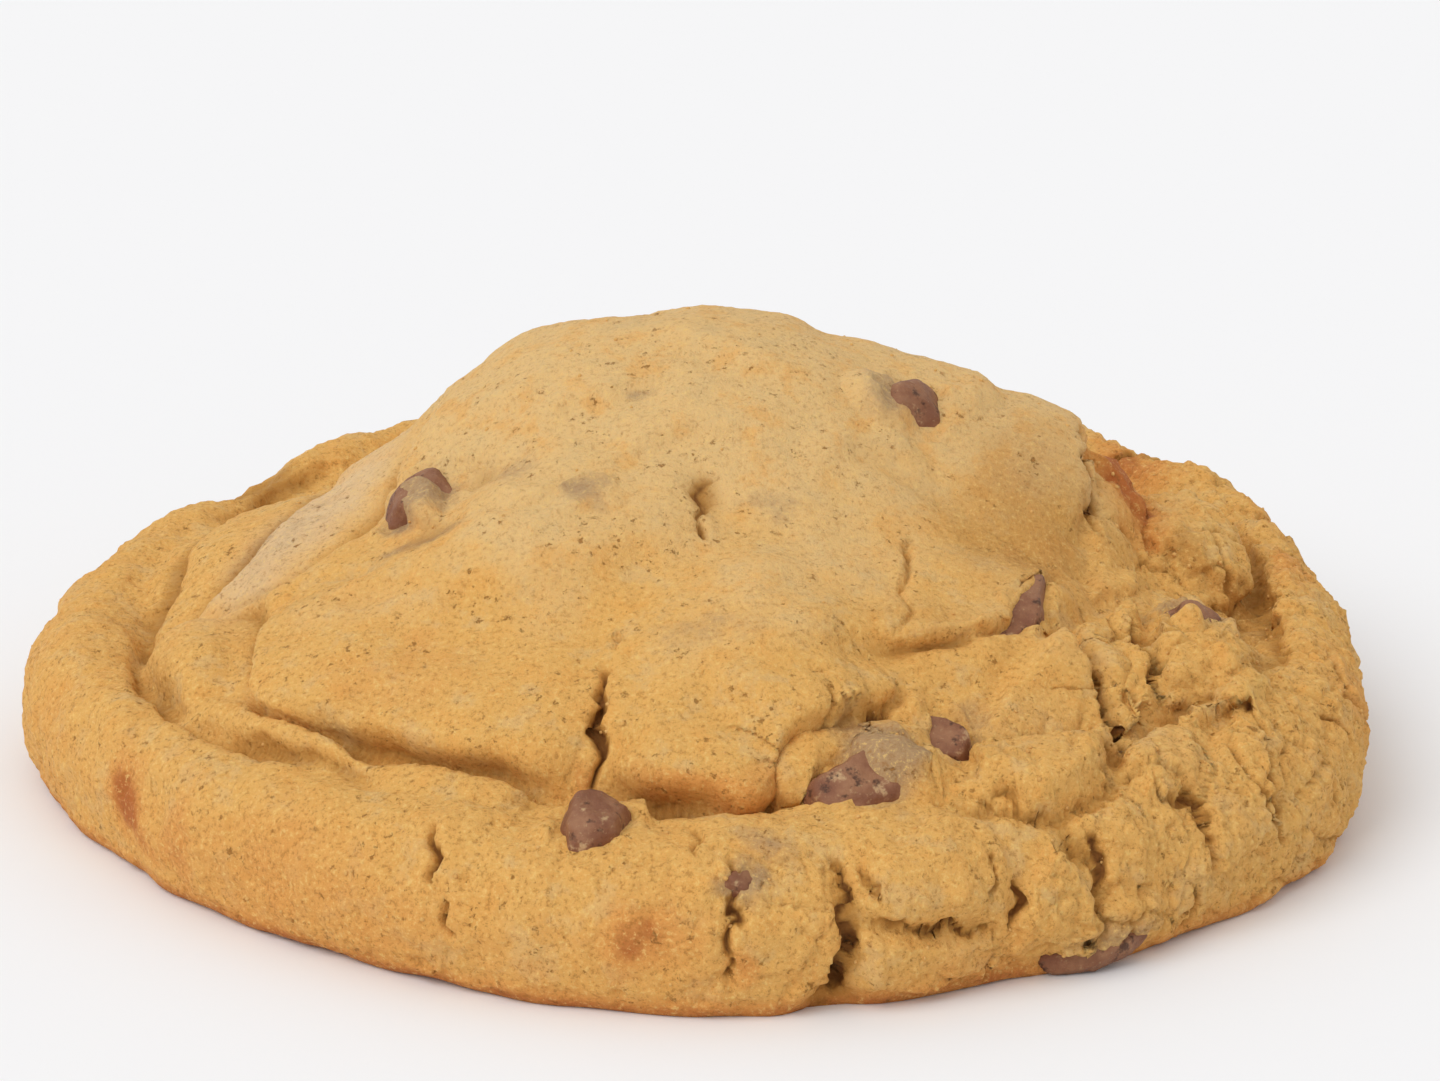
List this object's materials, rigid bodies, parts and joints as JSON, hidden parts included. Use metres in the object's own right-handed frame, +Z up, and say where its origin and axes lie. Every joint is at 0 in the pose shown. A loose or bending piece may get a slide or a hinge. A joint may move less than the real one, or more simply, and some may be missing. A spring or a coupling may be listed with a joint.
{
  "type": "chocolate chip cookie",
  "caption": "Thick, tall-domed chocolate chip cookie with a raised rolled rim, a cracked and folded crust on one side, and chocolate chips breaking through the dough; flat underside.",
  "frame": {"origin": "centre of the bounding box in plan, on the flat underside", "axes": "+Z up through the dome's summit, +X to the right as pictured, -Y towards the pictured front"},
  "size_m": [0.1048, 0.1044, 0.0348],
  "materials": {
    "baked_dough": "matte golden baked crust",
    "milk_chocolate": "dull satin milk chocolate"
  },
  "bodies": {
    "root": {"dough": "baked_dough", "chip_left": "milk_chocolate", "chip_front": "milk_chocolate", "chip_middle": "milk_chocolate", "chip_dark": "milk_chocolate", "chip_fold": "milk_chocolate", "chip_top": "milk_chocolate", "chip_right": "milk_chocolate", "chip_foot": "milk_chocolate", "chip_small": "milk_chocolate", "chip_dome": "milk_chocolate", "chip_back_left": "milk_chocolate", "chip_back": "milk_chocolate", "chip_back_right": "milk_chocolate", "chip_back_rim": "milk_chocolate"}
  },
  "joints": []
}
